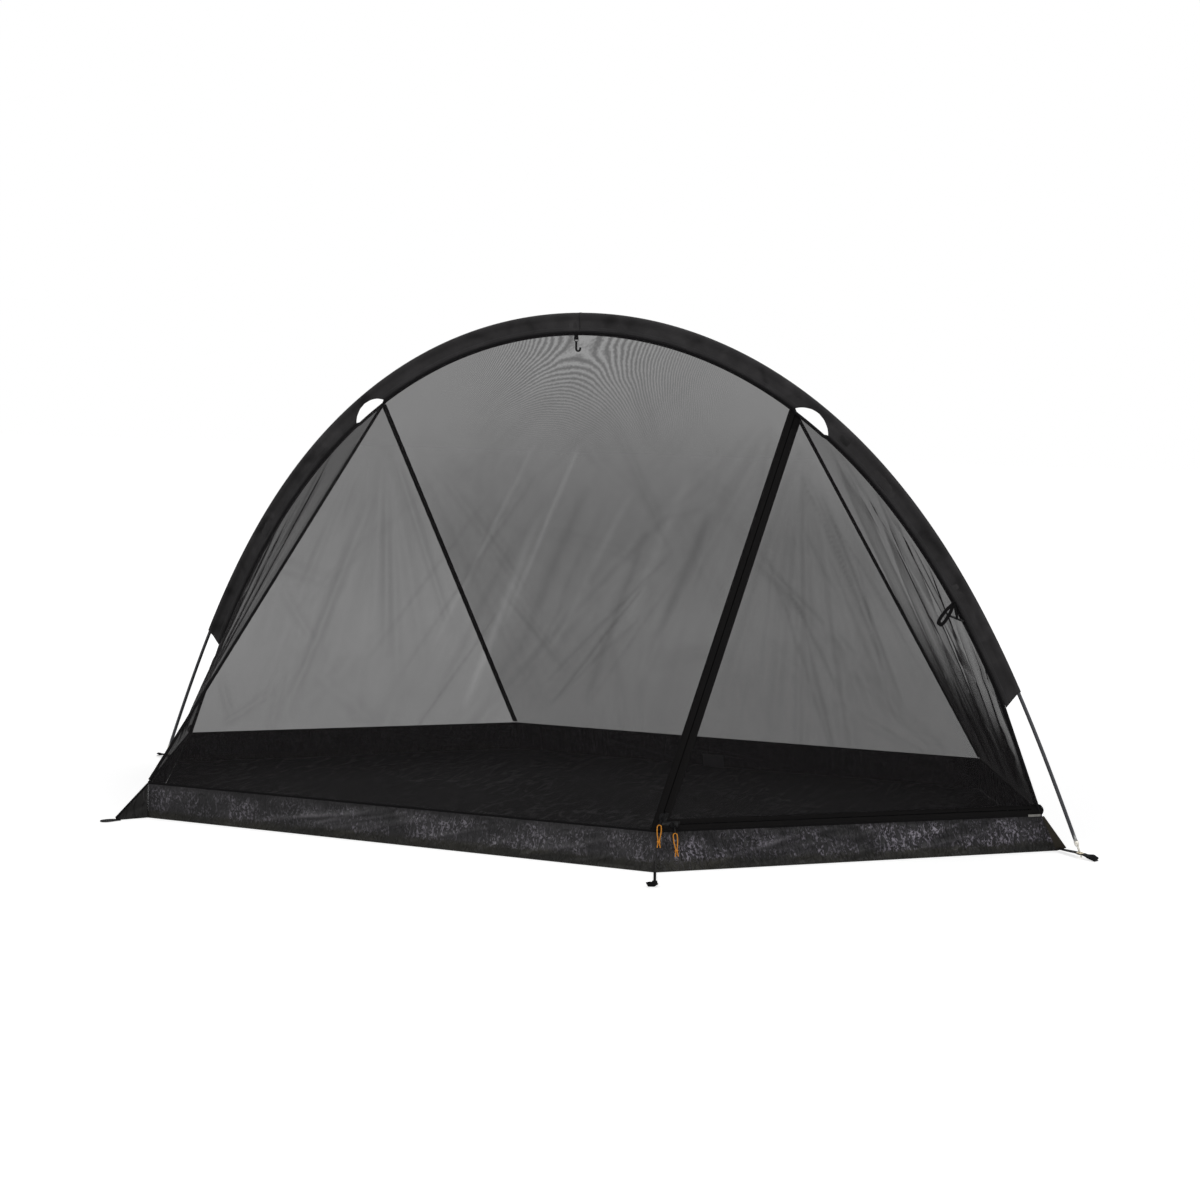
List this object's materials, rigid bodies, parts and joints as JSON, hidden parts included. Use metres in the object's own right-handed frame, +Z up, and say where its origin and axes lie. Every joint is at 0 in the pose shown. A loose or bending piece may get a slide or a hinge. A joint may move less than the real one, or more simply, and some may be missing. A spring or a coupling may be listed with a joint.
{
  "type": "mesh inner tent",
  "caption": "Low one-person mesh inner tent: a diagonal hoop pole in a sleeve over a bathtub floor, with an L-shaped zipped door at one side.",
  "frame": {"origin": "on the ground, in the middle of the floor, under the top of the hoop", "axes": "+Z up; +X along the hoop, towards the foot beside the door; -Y out through the door's side"},
  "size_m": [2.5216, 1.3262, 1.19],
  "materials": {
    "pole_tube": "dark anodised",
    "bare_metal": "turned, bare",
    "elastic": "braided elastic",
    "sleeve_cloth": "coated woven cloth, slightly shiny",
    "binding_tape": "matt woven tape",
    "netting": "fine see-through mosquito netting",
    "tub_cloth": "coated woven cloth, shiny and creased",
    "zip_tape": "woven tape with a coil",
    "zip_metal": "black enamel",
    "pull_cord": "braided cord",
    "black_plastic": "moulded"
  },
  "bodies": {
    "tent": {"pole_section_1": "pole_tube", "pole_section_2": "pole_tube", "pole_section_3": "pole_tube", "pole_section_4": "pole_tube", "pole_section_5": "pole_tube", "pole_section_6": "pole_tube", "pole_section_7": "pole_tube", "pole_section_8": "pole_tube", "pole_section_9": "pole_tube", "ferrule_1": "bare_metal", "ferrule_2": "bare_metal", "ferrule_3": "bare_metal", "ferrule_4": "bare_metal", "ferrule_5": "bare_metal", "ferrule_6": "bare_metal", "ferrule_7": "bare_metal", "ferrule_8": "bare_metal", "shock_cord": "elastic", "pole_tip_right": "bare_metal", "pole_tip_left": "bare_metal", "grommet_right": "bare_metal", "grommet_left": "bare_metal", "sleeve_right": "sleeve_cloth", "sleeve_left": "sleeve_cloth", "ridge_binding": "binding_tape", "seam_left_front": "binding_tape", "seam_right_back": "binding_tape", "seam_left_back": "binding_tape", "tie_back_loop": "binding_tape", "corner_strap_right": "binding_tape", "corner_strap_left": "binding_tape", "peg_loop_front": "binding_tape", "peg_loop_back": "binding_tape", "front_panel": "netting", "back_panel": "netting", "back_left_panel": "netting", "right_end_panel": "netting", "left_end_panel": "netting", "door_edge_panel": "netting", "zip_tape_tent": "zip_tape", "tub_floor": "tub_cloth", "tub_wall_door": "tub_cloth", "tub_wall_front": "tub_cloth", "tub_wall_left_end": "tub_cloth", "tub_wall_back_left": "tub_cloth", "tub_wall_back": "tub_cloth", "tub_wall_right_end": "tub_cloth", "corner_fin_front_left": "tub_cloth", "corner_fin_back_right": "tub_cloth"},
    "door": {"door_leaf": "netting", "zip_tape_door": "zip_tape"},
    "slider_upper": {"zip_slider_upper": "zip_metal"},
    "slider_lower": {"zip_slider_lower": "zip_metal"},
    "tab_upper": {"pull_tab_upper": "zip_metal", "pull_cord_upper": "pull_cord"},
    "tab_lower": {"pull_tab_lower": "zip_metal", "pull_cord_lower": "pull_cord"},
    "hook": {"lantern_hook": "black_plastic"},
    "toggle": {"tie_back_toggle": "black_plastic"}
  },
  "joints": [
    {"name": "door_swing", "type": "hinge", "parent": "tent", "child": "door", "pos_m": [0.85272, -0.07861, 0.39879], "axis": [-0.4082, 0.0696, 0.9102], "range_deg": [0, 110]},
    {"name": "zip_upper_slide", "type": "slide", "parent": "tent", "child": "slider_upper", "axis": [0.1321, 0.4726, 0.8713], "range_m": [0, 0.95]},
    {"name": "zip_lower_slide", "type": "slide", "parent": "tent", "child": "slider_lower", "axis": [0.8154, 0.5789, 0], "range_m": [0, 0.752]},
    {"name": "tab_upper_swing", "type": "hinge", "parent": "slider_upper", "child": "tab_upper", "pos_m": [0.41172, -0.46728, 0.11005], "axis": [-0.947, -0.1994, 0.2517], "range_deg": [0, 140]},
    {"name": "tab_lower_swing", "type": "hinge", "parent": "slider_lower", "child": "tab_lower", "pos_m": [0.4374, -0.46122, 0.09475], "axis": [-0.8154, -0.5789, 0], "range_deg": [0, 140]},
    {"name": "hook_swing", "type": "hinge", "parent": "tent", "child": "hook", "pos_m": [-0.011, 0, 1.12885], "axis": [1, 0, 0], "range_deg": [-28, 28]},
    {"name": "toggle_turn", "type": "hinge", "parent": "tent", "child": "toggle", "pos_m": [0.9293, -0.01112, 0.51593], "axis": [-0.8911, -0.2873, 0.3512], "range_deg": [-180, 180]}
  ]
}
